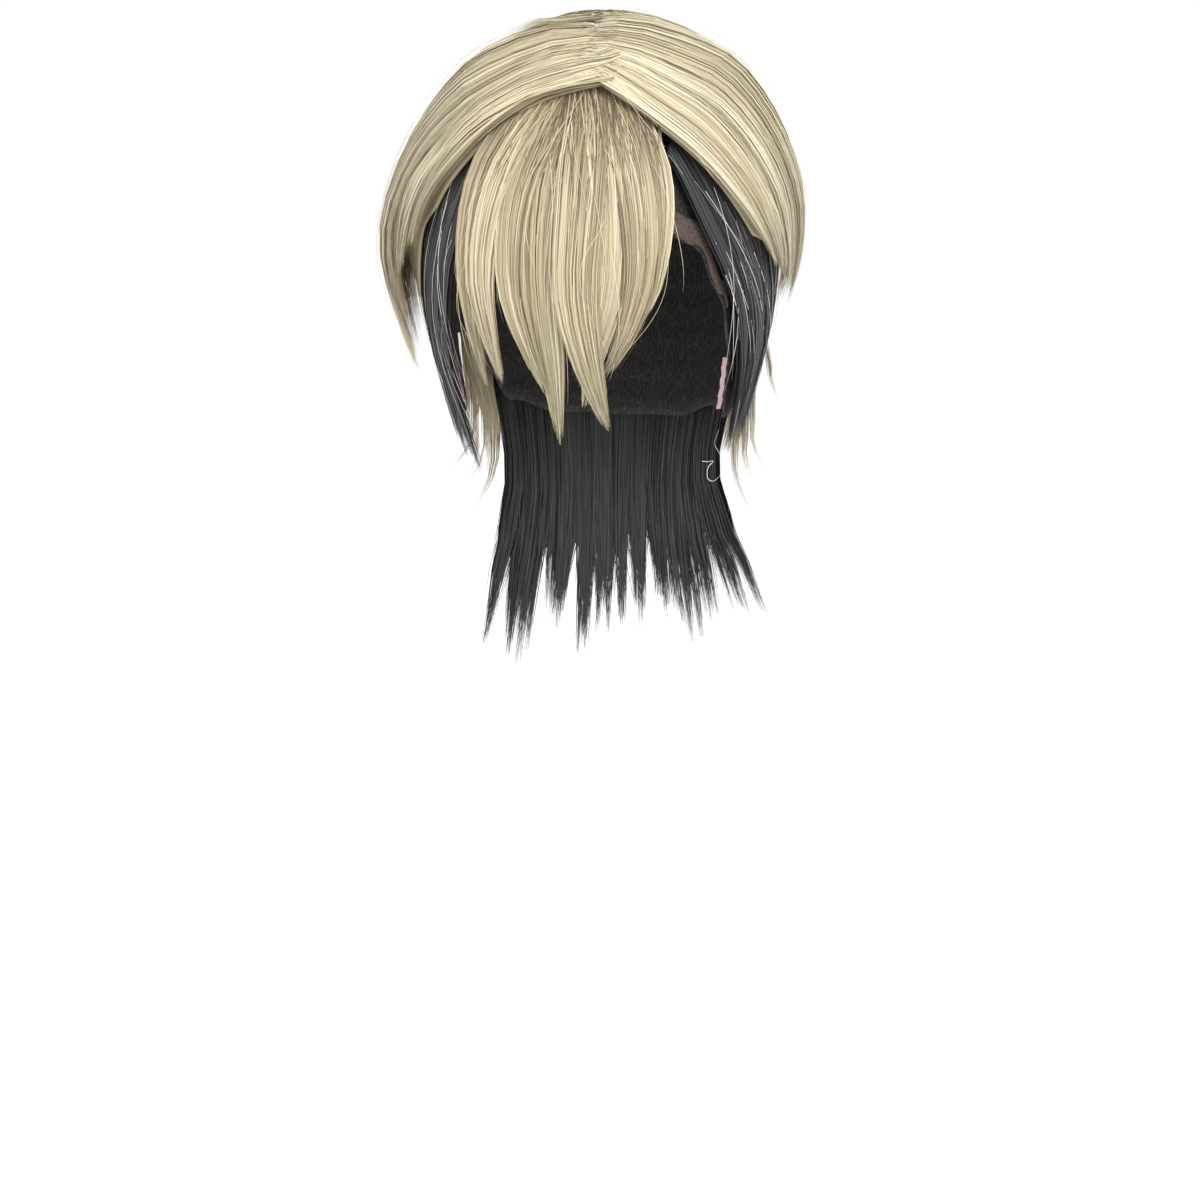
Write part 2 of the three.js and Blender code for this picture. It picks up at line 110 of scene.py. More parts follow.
# Each lock: its path from root to tip as (turn, level) knots, and its lift in shares of the layer's bulk
CROWN_RIGHT = [
    ([(1, 0.575), (-21, 0.48), (-42, 0.31), (-54, 0.17), (-60, 0.04)], [1, 1.08, 1.1, 1.1]),
    ([(3, 0.625), (-18, 0.56), (-42, 0.41), (-57, 0.24), (-66, 0.04), (-67, -0.14)], [0.7, 1.05, 1.35, 1.35]),
    ([(7, 0.64), (-24, 0.6), (-50, 0.44), (-66, 0.25), (-72, 0), (-69, -0.24), (-62, -0.48)],
     [0.55, 1.1, 1.6, 1.2]),
    ([(5, 0.69), (-34, 0.66), (-65, 0.48), (-78, 0.25), (-82, 0), (-78, -0.3), (-70, -0.56)],
     [0.53, 1.2, 1.85, 1.2]),
    ([(0, 0.77), (-60, 0.72), (-84, 0.48), (-92, 0.22), (-92, -0.05), (-88, -0.34), (-80, -0.6)],
     [0.53, 1.25, 1.95, 1.25]),
    ([(-40, 0.9), (-88, 0.74), (-101, 0.48), (-105, 0.2), (-104, -0.08), (-99, -0.36), (-92, -0.62)],
     [0.53, 1.15, 1.9, 1.25]),
    ([(-140, 0.93), (-122, 0.76), (-119, 0.48), (-118, 0.2), (-116, -0.1), (-112, -0.36), (-107, -0.6)],
     [0.82, 1.05, 1.3, 1.1]),
    ([(-168, 0.95), (-146, 0.78), (-141, 0.5), (-140, 0.2), (-138, -0.1), (-134, -0.38), (-128, -0.66)],
     [0.72, 0.84, 0.92, 0.86]),
]
# The small bundle that crosses the parting at the crown and runs down into the right layer
CROWN_TUFT = (
    [(150, 0.9), (-172, 0.955), (-70, 0.92), (-68, 0.8), (-74, 0.66)],
    [0.55, 0.64, 0.72, 0.98, 1.1],
)
# The bundle that crosses the parting from the wearer's left and runs into the right layer
CROWN_BRIDGE = (
    [(24, 0.69), (9, 0.635), (-8, 0.59), (-27, 0.51), (-42, 0.4), (-52, 0.27), (-59, 0.12)],
    [0.7, 0.95, 1.15, 1.25, 1.25, 1.2],
)
# How far each lock's root lies to the wearer's left and behind the guide's first knot, in metres
ROOTS_RIGHT = [
    (0.010, 0.001), (0.009, 0.008), (0.007, 0.014), (0.006, 0.018), (0.006, 0.016), (0.006, 0.006),
    (0.003, 0), (0, 0),
]
ROOTS_LEFT = [
    (-0.002, 0.002), (-0.004, 0.009), (-0.004, 0.014), (-0.005, 0.018), (-0.006, 0.012), (-0.004, 0), (0, 0),
]
CROWN_LEFT = [
    ([(9, 0.58), (29, 0.45), (49, 0.285), (64, 0.11), (76, -0.03)], [0.95, 1.1, 1.08, 1]),
    ([(12, 0.63), (36, 0.55), (56, 0.4), (68, 0.22), (78, 0.03), (86, -0.14)], [0.7, 1, 1.12, 1]),
    ([(11, 0.66), (46, 0.61), (68, 0.46), (78, 0.27), (85, 0.05), (89, -0.22)], [0.6, 1.15, 1.3, 1]),
    ([(15, 0.73), (58, 0.68), (80, 0.48), (88, 0.25), (93, 0), (97, -0.28)], [0.6, 1.4, 1.45, 1.05]),
    ([(30, 0.86), (78, 0.72), (95, 0.48), (101, 0.22), (104, -0.05), (106, -0.35)], [0.6, 1.4, 1.45, 1.05]),
    ([(134, 0.93), (118, 0.76), (115, 0.48), (115, 0.2), (116, -0.1), (117, -0.4)], [0.82, 1.1, 1.2, 1.0]),
    ([(164, 0.95), (142, 0.78), (138, 0.5), (137, 0.2), (137, -0.1), (136, -0.46)], [0.72, 0.84, 0.9, 0.86]),
]
# The first knot of a fringe lock is hidden under the crown's front edge
FRINGE = [
    ([(-12, 0.62), (-24, 0.43), (-30.5, 0.25), (-31, 0.05), (-30, -0.2), (-28.5, -0.5)],
     [0.3, 1.25, 1.5, 1.35], 0.72),
    ([(-10, 0.62), (-20, 0.43), (-26, 0.25), (-27, 0.05), (-25, -0.2), (-22, -0.47)],
     [0.3, 1.2, 1.7, 1.5], 0.72),
    ([(-6, 0.62), (-12, 0.42), (-17, 0.22), (-16, 0), (-12, -0.25), (-6, -0.52)],
     [0.3, 1.25, 1.8, 1.65], 0.6),
    ([(-1, 0.62), (-4, 0.42), (-7, 0.22), (-7, 0), (-5, -0.35), (-4, -0.75)],
     [0.3, 1.15, 1.4, 1.3], 0.66),
    ([(3, 0.62), (5, 0.42), (4, 0.22), (3, 0), (6, -0.3), (13, -0.67)],
     [0.3, 1.35, 2.1, 1.9], 0.8),
    ([(8, 0.62), (12, 0.42), (14, 0.22), (13, 0), (9, -0.25), (5, -0.56)],
     [0.3, 1.2, 1.6, 1.55], 0.72),
    ([(12, 0.62), (18, 0.43), (22, 0.25), (22, 0.05), (18, -0.18), (11, -0.42)],
     [0.3, 1.2, 1.75, 1.65], 0.76),
    ([(17, 0.61), (24, 0.42), (28, 0.29), (27, 0.13), (24, -0.04), (18, -0.22)],
     [0.3, 0.95, 1.5, 1.5], 0.6),
]
SIDE_LEFT = [
    [(38, 0.38), (49, 0.17), (62, -0.1), (71, -0.5), (75, -0.99)],
    [(44, 0.45), (60, 0.2), (74, -0.12), (83, -0.5), (82, -0.97)],
    [(56, 0.47), (73, 0.2), (85, -0.12), (92, -0.48), (90, -0.92)],
    [(72, 0.48), (85, 0.2), (95, -0.12), (99, -0.46), (99, -0.86)],
]
SIDE_RIGHT = [
    [(-38, 0.38), (-45, 0.17), (-53, -0.1), (-58, -0.5), (-51, -0.99)],
    [(-44, 0.45), (-58, 0.2), (-70, -0.12), (-75, -0.5), (-66, -0.97)],
    [(-56, 0.47), (-72, 0.2), (-83, -0.12), (-88, -0.48), (-83, -0.92)],
    [(-72, 0.48), (-85, 0.2), (-95, -0.12), (-99, -0.46), (-97, -0.86)],
]
# Ends that flip outwards beside the neck: path, lift in shares of the bulk, and sides, 1 the wearer's left
FLIPPED_ENDS = [
    ([(114, -0.15), (112, -0.6), (113, -0.92), (113, -1.08), (107, -1.17)],
     [-0.5, 0, 0.5, 1.6, 3.9], (1, -1)),
    ([(119, -0.15), (116, -0.6), (117, -0.97), (117, -1.17), (111, -1.30)],
     [-0.5, 0, 0.5, 1.6, 3.7], (1, -1)),
    ([(124, -0.15), (121, -0.6), (122, -1.0), (121, -1.25), (115, -1.41)],
     [-0.5, 0, 0.6, 1.6, 3.3], (1, -1)),
    ([(116, -0.05), (114, -0.35), (114, -0.58), (116, -0.74), (119, -0.84)],
     [-0.5, 0, 0.7, 2.2, 4.2], (1,)),
]
# The fibre that hangs in a loop below the wearer's left ear tab
LOOSE_CURL = [
    (57, -0.74), (56, -0.80), (59, -0.85), (63, -0.90), (65, -0.95), (63, -0.99), (59, -1.0), (55.5, -0.97),
    (55, -0.92), (57.5, -0.895), (54, -0.89), (51, -0.88),
]
# Nape locks: turn, tip level, sway and flare
NAPE = [
    (-128, -2.2, 2, 1.2), (-138, -2.3, 4, 0.95), (-150, -2.2, 4, 0.6), (-162, -2.26, 3, 0.42),
    (-174, -2.18, 2, 0.36), (-186, -2.24, -2, 0.36), (-198, -2.15, -3, 0.42), (-210, -2.2, -5, 0.6),
    (-220, -2.1, -10, 1.15), (-230, -2.03, -15, 1.75),
]


def ease(share):
    s = np.clip(share, 0, 1)
    return s * s * (3 - 2 * s)


def mix(low, high, share):
    return low + (high - low) * share


def unit(vectors):
    return vectors / np.maximum(np.linalg.norm(vectors, axis=-1, keepdims=True), 1e-12)


def narrowing(z):
    """The head form's width share, which falls below its widest level towards the neck."""
    return 1 - NECK_NARROWING * ease((-z - CROWN_HEIGHT) / NECK_LENGTH)


def on_head(turn, level, lift=0.0):
    """Points off the head form: turn in degrees from the front to the wearer's left, level 1 at the crown."""
    turn, level = np.broadcast_arrays(np.asarray(turn, float), np.asarray(level, float))
    around = np.radians(turn)
    z = level * CROWN_HEIGHT - CROWN_HEIGHT
    climb = np.maximum(0, level) * np.pi / 2
    above = level > 0
    share = np.where(above, np.cos(climb), narrowing(z))
    grow = np.where(above, np.cos(climb), 1)
    return np.stack([
        (HEAD_HALF_WIDTH * share + lift * grow) * np.sin(around),
        -(HEAD_HALF_DEPTH * share + lift * grow) * np.cos(around),
        np.where(above, (CROWN_HEIGHT + lift) * np.sin(climb) - CROWN_HEIGHT, z),
    ], -1)


def settle(points, lift):
    """Moves points straight onto the surface that lies the given lift off the head form."""
    x, y, z = np.moveaxis(points, -1, 0)
    above = np.maximum(0, z + CROWN_HEIGHT)
    share = np.where(above > 0, 1, narrowing(z))
    aim = unit(np.stack([
        x / (HEAD_HALF_WIDTH * share + UNDER_CEILING),
        y / (HEAD_HALF_DEPTH * share + UNDER_CEILING),
        above / (CROWN_HEIGHT + UNDER_CEILING),
    ], -1))
    return np.stack([
        (HEAD_HALF_WIDTH * share + lift) * aim[..., 0],
        (HEAD_HALF_DEPTH * share + lift) * aim[..., 1],
        np.where(above > 0, (CROWN_HEIGHT + lift) * aim[..., 2] - CROWN_HEIGHT, z),
    ], -1)


def outwards(points):
    return unit(settle(points, LOCK_DEPTH) - settle(points, 0.0))


def along(values, share):
    """Values read off an evenly spaced short list, half eased and half straight."""
    values = np.asarray(values, float)
    place = np.clip(share, 0, 1) * (len(values) - 1)
    first = np.minimum(len(values) - 2, np.floor(place).astype(int))
    part = place - first
    return mix(values[first], values[first + 1], 0.5 * ease(part) + 0.5 * part)


def smooth_path(knots, count):
    """An evenly spaced run of points on the centripetal curve through the knots."""
    knots = np.asarray(knots, float)
    ends = np.vstack([2 * knots[:1] - knots[1:2], knots, 2 * knots[-1:] - knots[-2:-1]])
    share = np.linspace(0, 1, 40)[:, None]
    runs = []
    for p0, p1, p2, p3 in zip(ends, ends[1:], ends[2:], ends[3:]):
        spans = ((p0, p1), (p1, p2), (p2, p3))
        d0, d1, d2 = (max(1e-6, float(np.linalg.norm(b - a))) ** 0.5 for a, b in spans)
        start = ((p1 - p0) / d0 - (p2 - p0) / (d0 + d1) + (p2 - p1) / d1) * d1
        stop = ((p2 - p1) / d1 - (p3 - p1) / (d1 + d2) + (p3 - p2) / d2) * d1
        c2 = -3 * p1 + 3 * p2 - 2 * start - stop
        c3 = 2 * p1 - 2 * p2 + start + stop
        runs.append(p1 + share * (start + share * (c2 + share * c3)))
    line = np.vstack(runs)
    reach = np.concatenate([[0], np.cumsum(np.linalg.norm(np.diff(line, axis=0), axis=1))])
    wanted = np.linspace(0, reach[-1], count)
    return np.stack([np.interp(wanted, reach, line[:, axis]) for axis in range(3)], 1)


def layer_guides(paths, lifts, roots=None):
    """Guides of a combed layer: centre lines (locks, steps, 3) and lifts (locks, steps).

    roots moves each lock's root to the wearer's left and backwards, so that it sweeps out of the parting.
    """
    share = np.linspace(0, 1, GUIDE_STEPS)
    lines = np.array([smooth_path(on_head(*np.array(path, float).T), GUIDE_STEPS) for path in paths])
    if roots:
        lines[..., :2] += np.array(roots)[:, None, :] * (1 - ease(share / ROOT_REACH))[:, None]
    return lines, np.array([along(lift, share) for lift in lifts])


def lock_guides(path, lift, width):
    """Three guides of one lock: its two edges, which draw together at the tip, and its middle."""
    share = np.linspace(0, 1, GUIDE_STEPS)
    line = smooth_path(on_head(*np.array(path, float).T), GUIDE_STEPS)
    side = unit(np.cross(np.gradient(line, axis=0), outwards(line)))
    opened = mix(ROOT_WIDTH, 1, ease(share / ROOT_END))
    half = LOCK_WIDTH * width / 2 * opened * mix(1, TIP_WIDTH, share ** WIDTH_TAPER)
    lines = np.array([line - side * half[:, None], line, line + side * half[:, None]])
    return lines, np.array([along(lift, share)] * 3)


def read_guides(guides, across, down):
    """Head-form points and lifts at places between the guides.

    across counts guides, down runs from 0 at the root to 1 at the tip.
    """
    lines, lifts = guides
    table = np.concatenate([lines, lifts[..., None]], -1)
    table = np.concatenate([2 * table[:1] - table[1:2], table, 2 * table[-1:] - table[-2:-1]])
    first = np.clip(np.floor(across).astype(int), 0, len(lines) - 2)
    part = across - first
    inside = np.clip(part, 0, 1)
    beyond = (part - inside)[..., None]
    t = inside[..., None]
    weights = (
        0.5 * (-t + 2 * t**2 - t**3), 0.5 * (2 - 5 * t**2 + 3 * t**3),
        0.5 * (t + 4 * t**2 - 3 * t**3), 0.5 * (t**3 - t**2),
    )
    place = np.clip(down, 0, 1) * (GUIDE_STEPS - 1)
    step = np.minimum(GUIDE_STEPS - 2, np.floor(place).astype(int))
    rest = (place - step)[..., None]

    def at(lock):
        return mix(table[lock, step], table[lock, step + 1], rest)

    row = [at(first + k) for k in range(4)]
    found = sum(w * r for w, r in zip(weights, row)) + beyond * (row[2] - row[1])
    return found[..., :3], found[..., 3]


def comb(rng, guides, count, reach, clumps, clump_half, depth, **look):
    """Fibres combed along guides and gathered into pointed clumps: their points, widths and tones.

    reach is the first and last place across, clump_half a clump's half width in guides, and depth the fibres'
    low and high offset from the guides' lift. look replaces values of COMBED.
    """
    get = {**COMBED, **look}
    count = amount(count)
    width = bpy.context.scene.wig_sizes.strand_width * get["width"]
    middle = np.sort(mix(*reach, (np.arange(clumps) + rng.uniform(0.2, 0.8, clumps)) / clumps))
    clump_end = 1 - get["ragged"] * rng.random(clumps) ** 1.5
    clump_lift = rng.normal(0, 0.5, clumps) * get["bulge"]
    clump_tone = rng.normal(0, get["clump_tone"], clumps)
    lock_middle = middle
    if get["locks"]:
        places = (np.arange(get["locks"]) + rng.uniform(0.1, 0.9, get["locks"])) / get["locks"]
        places = mix(*reach, places)
        lock = np.abs(middle[:, None] - places[None]).argmin(1)
        lock_middle = places[lock]
        clump_end = clump_end * (1 - get["lock_ragged"] * rng.random(get["locks"]))[lock]
        clump_tone = clump_tone + rng.normal(0, get["clump_tone"], get["locks"])[lock]
    clump_phase = rng.uniform(0, 2 * np.pi, (clumps, 2))
    clump_half = clump_half * rng.uniform(0.75, 1.35, clumps)

    clump = rng.integers(0, clumps, count)
    off = np.clip(rng.normal(0, 0.5, count), -1.15, 1.15)
    end = clump_end[clump]
    stop = end * (1 - get["fray"] * rng.random(count) ** 2 - 0.06 * np.abs(off))
    tail = TIP_STEP * np.arange(get["knots"])[::-1]
    down = np.minimum(np.linspace(0, 1, get["knots"])[None, :], stop[:, None] - tail)
    down[:, 0] = rng.uniform(0, 0.03, count)
    share = down / stop[:, None]

    drawn = get["gather"] * ease((down / end[:, None] - get["gather_from"]) / (1 - get["gather_from"]))
    pull = get["lock_pull"] / get["gather"] * drawn
    across = mix(middle[clump][:, None], lock_middle[clump][:, None], pull)
    sway = np.sin(clump_phase[clump, :1] + down * 5.0) * get["sway"] * np.sqrt(np.clip(down, 0, 1))
    across = across + clump_half[clump][:, None] * (off[:, None] * (1 - drawn) + sway)
    across = np.clip(across, reach[0] - 0.1, reach[1] + 0.1)
    points, lift = read_guides(guides, across, down)
    cross = rng.uniform(*get["cross"], count)[:, None] * (1 - ease(down / get["cross_reach"]))
    points[..., 0] += cross

    high = rng.random(count) ** 0.45
    out = mix(*depth, high)[:, None] * (1 - 0.55 * drawn)
    rounded = get["bulge"] * (1 - off**2) + clump_lift[clump]
    out = out + rounded[:, None] * (0.4 + 0.6 * ease(down / 0.3))
    wild = rng.random(count) < WILD_SHARE
    wander = get["wander"] * np.where(wild, WILD_WANDER, 1.0)[:, None] * (0.3 + share)
    phase = rng.uniform(0, 2 * np.pi, (count, 4))
    waves = rng.uniform(3, 8, (count, 2))
    side_wave = wander * np.sin(phase[:, :1] + waves[:, :1] * down)
    out_wave = wander * np.sin(phase[:, 1:2] + waves[:, 1:] * down)
    out = out + out_wave * np.where(wild, 1.0, 0.4)[:, None] + np.where(wild, WILD_RISE, 0)[:, None] * share
    way = unit(np.gradient(points, axis=1))
    points = points + np.cross(way, outwards(points)) * side_wave[..., None]

    thick = width * rng.uniform(0.7, 1.25, count) * np.where(wild, WILD_WIDTH, 1)
    # Random clump and fibre tones, plus painted shade: fibres lying deeper in the layer are painted darker
    tone = get["tone"] + clump_tone[clump] + rng.normal(0, get["tone_spread"], count) + 0.16 * (high - 0.6)
    tone = tone[:, None] + 0.04 * np.sin(phase[:, 2:3] + 4 * down)
    # Painted shade: the roots are painted darker where the layer sets out from under the parting or another
    # layer
    darker, far = get["shade"]
    tone = tone - darker * (1 - ease(down / far))
    return settle(points, lift + out), thick[:, None] * pointed(share), tone


def pointed(share):
    """A fibre's width share, which falls towards its tip."""
    return 1 - 0.85 * ease((share - 0.7) / 0.3)


def loose_fibres(rng, guides, count, reach, height, drift, length=(0.15, 0.5)):
    """Single fibres that have left their layer: short curved runs, raised above it by the given heights."""
    count = amount(count)
    width = bpy.context.scene.wig_sizes.stray_width
    share = np.linspace(0, 1, STRAY_KNOTS)[None, :]
    length = rng.uniform(*length, count)
    start = rng.uniform(0.0, np.maximum(0.01, 1.0 - length))
    down = start[:, None] + length[:, None] * share
    drift = rng.normal(0, drift, count)[:, None]
    across = rng.uniform(*reach, count)[:, None] + drift * (share - 0.3)
    points, lift = read_guides(guides, across, down)
    phase = rng.uniform(0, 2 * np.pi, (count, 2))
    turns = rng.uniform(2, 9, (count, 2)) * rng.choice([0.5, 1.0], (count, 1))
    curl = STRAY_CURL * rng.uniform(0.2, 1.0, count)[:, None]
    way = unit(np.gradient(points, axis=1))
    bend = curl * np.sin(phase[:, :1] + turns[:, :1] * share)
    points = points + np.cross(way, outwards(points)) * bend[..., None]
    rise = rng.uniform(*height, count)[:, None] + 0.5 * curl * np.sin(phase[:, 1:] + turns[:, 1:] * share)
    rise = np.maximum(rise, 0.4 * height[0])
    thick = width * rng.uniform(0.7, 1.2, count)[:, None] * pointed(share)
    return settle(points, lift + rise), thick, rng.uniform(0.55, 1.0, count)[:, None]


def ribbon_arrays(rng, points, thick):
    """Fine ribbons along the fibres: vertices and quads. Each is rolled a little about its own line."""
    count, knots = points.shape[:2]
    way = unit(np.gradient(points, axis=1))
    up = outwards(points)
    up = unit(up - way * np.sum(up * way, -1, keepdims=True))
    side = np.cross(way, up)
    roll = rng.uniform(-0.5, 0.5, count)[:, None, None]
    side = side * np.cos(roll) + up * np.sin(roll)
    half = np.broadcast_to(thick, (count, knots))[..., None] / 2
    rows = np.stack([points - side * half, points + side * half], 2)
    at = np.arange(count * knots * 2).reshape(count, knots, 2)
    quads = np.stack([at[:, :-1, 0], at[:, :-1, 1], at[:, 1:, 1], at[:, 1:, 0]], -1)
    return rows.reshape(-1, 3), quads.reshape(-1, 4)


def strand_piece(name, parts, rng, materials):
    """One object from several combed bundles, each (points, thickness, tone, material index)."""
    corners, faces, tones, slots, spread, bake = [], [], [], [], [], []
    fibres = sum(len(part[0]) for part in parts)
    columns = math.ceil(math.sqrt(fibres))
    total = number = 0
    face_u = np.array([0.0, 1.0, 1.0, 0.0])
    for points, thick, tone, slot in parts:
        count, knots = points.shape[:2]
        rows, quads = ribbon_arrays(rng, points, thick)
        corners.append(rows)
        faces.append(quads + total)
        tones.append(np.repeat(np.broadcast_to(tone, (count, knots)).reshape(-1), 2))
        slots.append(np.full(len(quads), slot))
        length = np.cumsum(np.linalg.norm(np.diff(points, axis=1), axis=-1), 1)
        length = np.concatenate([np.zeros((count, 1)), length], 1) + rng.uniform(0, 1, (count, 1))
        low, high = length[:, :-1], length[:, 1:]
        run = np.stack([low, low, high, high], -1)[:, :, None, :]
        shift = rng.uniform(0, 40, count)[:, None, None, None]
        spread.append(np.stack(np.broadcast_arrays(shift + face_u, run), -1).reshape(-1, 2))
        index = number + np.arange(count)
        cell = np.stack([index % columns, index // columns], -1) / columns
        place = np.linspace(0.04, 0.96, knots)
        strip = np.stack(np.broadcast_arrays(
            0.1 + 0.8 * face_u,
            np.stack([place[:-1], place[:-1], place[1:], place[1:]], -1)[:, None, :],
        ), -1)
        bake.append((cell[:, None, None, None, :] + strip[None] / columns).reshape(-1, 2))
        total += len(rows)
        number += count
    corners, faces = np.vstack(corners), np.vstack(faces)
    mesh = bpy.data.meshes.new(name)
    mesh.vertices.add(len(corners))
    mesh.vertices.foreach_set("co", corners.astype(np.float32).ravel())
    mesh.loops.add(faces.size)
    mesh.loops.foreach_set("vertex_index", faces.astype(np.int32).ravel())
    mesh.polygons.add(len(faces))
    mesh.polygons.foreach_set("loop_start", np.arange(0, faces.size, 4, dtype=np.int32))
    mesh.update(calc_edges=True)
    mesh.polygons.foreach_set("use_smooth", np.ones(len(faces), bool))
    mesh.polygons.foreach_set("material_index", np.concatenate(slots).astype(np.int32))
    attribute = mesh.attributes.new("tone", "FLOAT", "POINT")
    attribute.data.foreach_set("value", np.concatenate(tones).astype(np.float32))
    for map_name, values in (("OFBake", np.vstack(bake)), ("Strand", np.vstack(spread))):
        layer = mesh.uv_layers.new(name=map_name)
        layer.uv.foreach_set("vector", values.astype(np.float32).ravel())
    for material in materials:
        mesh.materials.append(material)
    mesh.validate()
    piece = bpy.data.objects.new(name, mesh)
    bpy.context.scene.collection.objects.link(piece)
    return piece


def object_from(bm, name, material, smooth=True):
    """Ends a bmesh as an object at the origin."""
    mesh = bpy.data.meshes.new(name)
    bm.to_mesh(mesh)
    bm.free()
    for face in mesh.polygons:
        face.use_smooth = smooth
    mesh.materials.append(material)
    piece = bpy.data.objects.new(name, mesh)
    bpy.context.scene.collection.objects.link(piece)
    return piece


def put_in_order(bm):
    """Sorts a bmesh by place, since extruding and merging leave it in another order in each run."""
    for items in (bm.verts, bm.edges, bm.faces):
        def spot(item):
            corners = getattr(item, "verts", [item])
            middle = sum((corner.co for corner in corners), Vector()) / len(corners)
            return [round(value, 7) for value in middle]

        for number, item in enumerate(sorted(items, key=spot)):
            item.index = number
        items.sort()
        items.index_update()


def shell(name, place, columns, steps, material, tone=0.3, closed=False):
    """A closed thin form from a grid. place(across, down, outer) gives points for arrays from 0 to 1."""
    bm = bmesh.new()
    bmesh.ops.create_grid(bm, x_segments=columns, y_segments=steps, size=0.5)
    uv_layer = bm.loops.layers.uv.new("Strand")
    tone_layer = bm.verts.layers.float.new("tone")
    for face in bm.faces:
        for loop in face.loops:
            loop[uv_layer].uv = (loop.vert.co.x * 40, loop.vert.co.y * 0.15)
    flat = np.array([vert.co[:2] for vert in bm.verts]) + 0.5
    outer = list(bm.verts)
    extruded = bmesh.ops.extrude_face_region(bm, geom=bm.faces[:], use_keep_orig=True)
    inner = [item for item in extruded["geom"] if isinstance(item, bmesh.types.BMVert)]
    flat_inner = np.array([vert.co[:2] for vert in inner]) + 0.5
    for verts, spots, side in ((outer, flat, True), (inner, flat_inner, False)):
        placed = place(spots[:, 0], spots[:, 1], side)
        for vert, co in zip(verts, placed):
            vert.co = co
            vert[tone_layer] = tone
    if closed:
        bmesh.ops.remove_doubles(bm, verts=bm.verts[:], dist=1e-5)
    put_in_order(bm)
    bmesh.ops.recalc_face_normals(bm, faces=bm.faces[:])
    return object_from(bm, name, material)


def own(piece, node):
    """Rides a piece on the wig, and lets it stand for its CAD node."""
    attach(piece, "root")
    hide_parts(node)


class Nodes:
    """Short ways to place and link the nodes of one material."""

    def __init__(self, name):
        self.material = bpy.data.materials.new(name)
        self.material.use_nodes = True
        self.tree = self.material.node_tree
        self.shader = next(node for node in self.tree.nodes if node.type == "BSDF_PRINCIPLED")

    def add(self, kind, **values):
        node = self.tree.nodes.new(kind)
        for key, value in values.items():
            setattr(node, key, value)
        return node

    def link(self, source, target):
        self.tree.links.new(source, target)

    def math(self, operation, first, second):
        node = self.tree.nodes.new("ShaderNodeMath")
        node.operation = operation
        for socket, value in zip(node.inputs, (first, second)):
            if isinstance(value, (int, float)):
                socket.default_value = value
            else:
                self.link(value, socket)
        return node.outputs[0]

    def ramp(self, factor, stops):
        node = self.tree.nodes.new("ShaderNodeValToRGB")
        elements = node.color_ramp.elements
        while len(elements) < len(stops):
            elements.new(0.5)
        for element, (place, colour) in zip(elements, stops):
            element.position = place
            element.color = (*colour[:3], 1)
        self.link(factor, node.inputs["Fac"])
        return node.outputs["Color"]

    def bump(self, height, strength, distance):
        node = self.tree.nodes.new("ShaderNodeBump")
        node.inputs["Strength"].default_value = strength
        node.inputs["Distance"].default_value = distance
        self.link(height, node.inputs["Height"])
        self.link(node.outputs["Normal"], self.shader.inputs["Normal"])


def hair_material(name, stops, roughness, specular, sheen):
    """Satin fibre: the strand's own tone and fine streaks along it pick the colour."""
    hair = Nodes(name)
    tone = hair.add("ShaderNodeAttribute", attribute_name="tone")
    place = hair.add("ShaderNodeUVMap", uv_map="Strand")
    stretch = hair.add("ShaderNodeMapping")
    stretch.inputs["Scale"].default_value = (7.0, 55.0, 1.0)
    hair.link(place.outputs["UV"], stretch.inputs["Vector"])
    streak = hair.add("ShaderNodeTexNoise")
    streak.inputs["Scale"].default_value = 1.0
    streak.inputs["Detail"].default_value = 2.0
    hair.link(stretch.outputs["Vector"], streak.inputs["Vector"])
    fine = hair.math("MULTIPLY_ADD", streak.outputs["Fac"], 0.5)
    fine.node.inputs[2].default_value = -0.25
    hair.link(hair.ramp(hair.math("ADD", tone.outputs["Fac"], fine), stops), hair.shader.inputs["Base Color"])
    rough = hair.math("MULTIPLY_ADD", streak.outputs["Fac"], 0.25)
    rough.node.inputs[2].default_value = roughness - 0.12
    hair.link(rough, hair.shader.inputs["Roughness"])
    hair.bump(streak.outputs["Fac"], 0.35, 0.0002)
    hair.shader.inputs["Specular IOR Level"].default_value = specular
    hair.shader.inputs["Sheen Weight"].default_value = sheen
    return hair.material


def pale_hair():
    colours = bpy.context.scene.wig_colours
    return bpy.data.materials.get("pale_fibre") or hair_material("pale_fibre", [
        (0.0, colours.pale_deep), (0.28, colours.pale_shadow),
        (0.55, colours.pale_middle), (1.0, colours.pale_light),
    ], 0.42, 0.45, 0.1)


def dark_hair():
    colours = bpy.context.scene.wig_colours
    return bpy.data.materials.get("dark_fibre") or hair_material("dark_fibre", [
        (0.0, colours.dark_deep), (0.5, colours.dark_middle),
        (0.85, colours.dark_brown), (1.0, colours.dark_light),
    ], 0.40, 0.32, 0.0)


def stray_hair():
    colours = bpy.context.scene.wig_colours
    return bpy.data.materials.get("silver_stray_fibre") or hair_material("silver_stray_fibre", [
        (0.0, colours.pale_shadow), (0.5, colours.stray), (1.0, colours.stray),
    ], 0.35, 0.5, 0.0)


